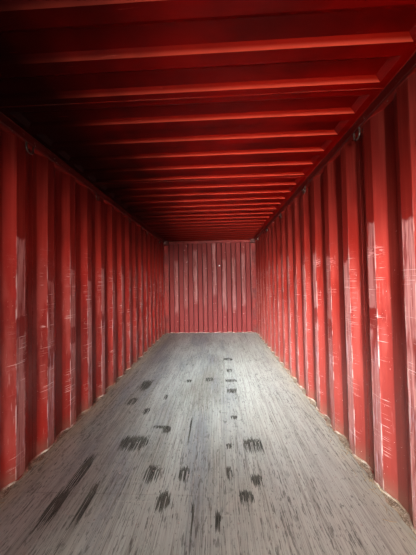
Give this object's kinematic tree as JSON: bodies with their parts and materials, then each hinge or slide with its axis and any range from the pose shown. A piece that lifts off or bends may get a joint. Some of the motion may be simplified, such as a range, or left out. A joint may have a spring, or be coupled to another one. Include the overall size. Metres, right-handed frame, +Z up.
{
  "type": "shipping container",
  "caption": "Steel cargo container with corrugated walls, stamped roof, plywood floor, hollow corner fittings, fork pockets and doors folded back along its sides.",
  "frame": {"origin": "centre of the base on the ground, under the middle of the corner fittings", "axes": "+X along the length towards the open door end, +Z up, +Y to the right when looking from the doorway to the closed front end"},
  "size_m": [6.058, 2.64, 2.591],
  "materials": {
    "fitting_cast": "red paint on cast steel",
    "frame_paint": "worn red oxide paint on frame steel",
    "plywood": "worn and dusty plywood",
    "roof_paint": "dark red paint on stamped sheet",
    "seal_rubber": "black rubber",
    "wall_paint": "worn red paint on corrugated sheet",
    "zinc_steel": "dull galvanised steel"
  },
  "bodies": {
    "root": {"bottom_corner_fittings": "fitting_cast", "top_corner_fittings": "fitting_cast", "left_front_post": "frame_paint", "right_front_post": "frame_paint", "left_rear_post": "frame_paint", "right_rear_post": "frame_paint", "left_door_jamb": "frame_paint", "right_door_jamb": "frame_paint", "left_bottom_rail": "frame_paint", "right_bottom_rail": "frame_paint", "left_top_rail": "frame_paint", "right_top_rail": "frame_paint", "front_sill": "frame_paint", "front_header": "frame_paint", "door_sill": "frame_paint", "door_header": "frame_paint", "cross_members": "frame_paint", "fork_pockets": "frame_paint", "floor_sheets": "plywood", "left_wall": "wall_paint", "right_wall": "wall_paint", "front_wall": "wall_paint", "roof_sheets": "roof_paint", "roof_corner_plates": "frame_paint", "rain_gutter": "frame_paint", "ventilators": "frame_paint", "lashing_rings": "zinc_steel", "tie_back_loops": "zinc_steel", "hinge_lugs": "frame_paint", "hinge_pins": "zinc_steel", "cam_keepers": "frame_paint", "left_door_frame": "frame_paint", "left_door_panel": "wall_paint", "left_door_gasket": "seal_rubber", "left_door_hinges": "frame_paint", "left_lock_bars": "zinc_steel", "left_bar_guides": "zinc_steel", "left_door_handles": "zinc_steel", "right_door_frame": "frame_paint", "right_door_panel": "wall_paint", "right_door_gasket": "seal_rubber", "right_door_hinges": "frame_paint", "right_lock_bars": "zinc_steel", "right_bar_guides": "zinc_steel", "right_door_handles": "zinc_steel"}
  },
  "joints": []
}
